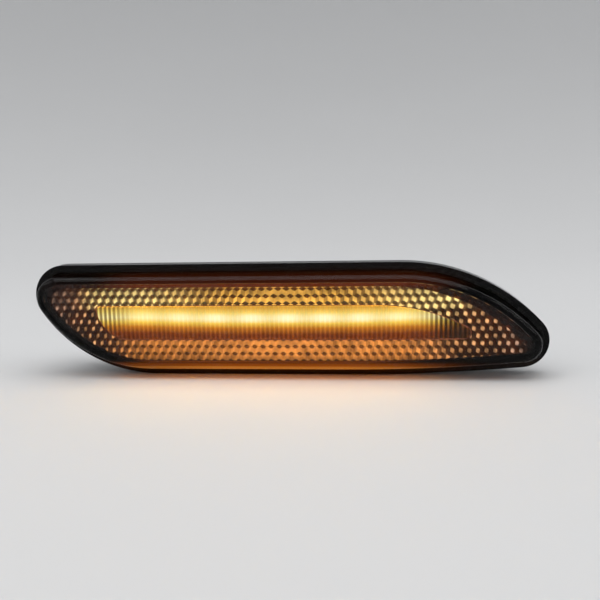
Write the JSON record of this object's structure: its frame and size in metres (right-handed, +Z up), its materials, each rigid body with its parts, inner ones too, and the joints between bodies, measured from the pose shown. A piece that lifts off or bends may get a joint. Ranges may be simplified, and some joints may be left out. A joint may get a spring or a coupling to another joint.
{
  "type": "vehicle side indicator lamp",
  "caption": "Slim leaning side indicator lamp for a car wing: smoked lens over a honeycomb reflex field and a fluted amber light bar, clip-in housing with a plug socket behind.",
  "frame": {"origin": "on the panel that the lamp is clipped to, in the middle of the gasket's back face", "axes": "+X along the lamp towards its slanted pointed end, +Y into the panel, away from the light, +Z up"},
  "size_m": [0.1314, 0.0349, 0.0286],
  "materials": {
    "smoked_lens": "smoked clear plastic, polished",
    "reflex_amber": "amber plastic, moulded cells",
    "bar_amber": "clear amber plastic, fluted",
    "reflector_white": "white moulding",
    "board": "circuit board with solder mask",
    "led": "amber LED",
    "black_component": "moulded black",
    "can": "drawn can",
    "blade": "stamped",
    "housing_black": "black moulding",
    "sealant": "cured sealant",
    "gasket": "closed-cell foam",
    "spring": "spring steel strip",
    "screw": "zinc plated"
  },
  "bodies": {
    "root": {"outer_lens": "smoked_lens", "gasket": "gasket", "lens_sealant": "sealant", "reflex_plate": "reflex_amber", "light_bar": "bar_amber", "reflector": "reflector_white", "led_board": "board", "driver_chip": "black_component", "blocking_diode": "black_component", "capacitor": "can", "terminal_positive": "blade", "terminal_negative": "blade", "board_screws": "screw", "housing": "housing_black", "spring_clip": "spring", "led_1": "led", "led_2": "led", "led_3": "led", "led_4": "led", "led_5": "led", "led_6": "led", "led_7": "led", "led_8": "led", "resistor_1": "black_component", "resistor_2": "black_component", "resistor_3": "black_component"}
  },
  "joints": []
}
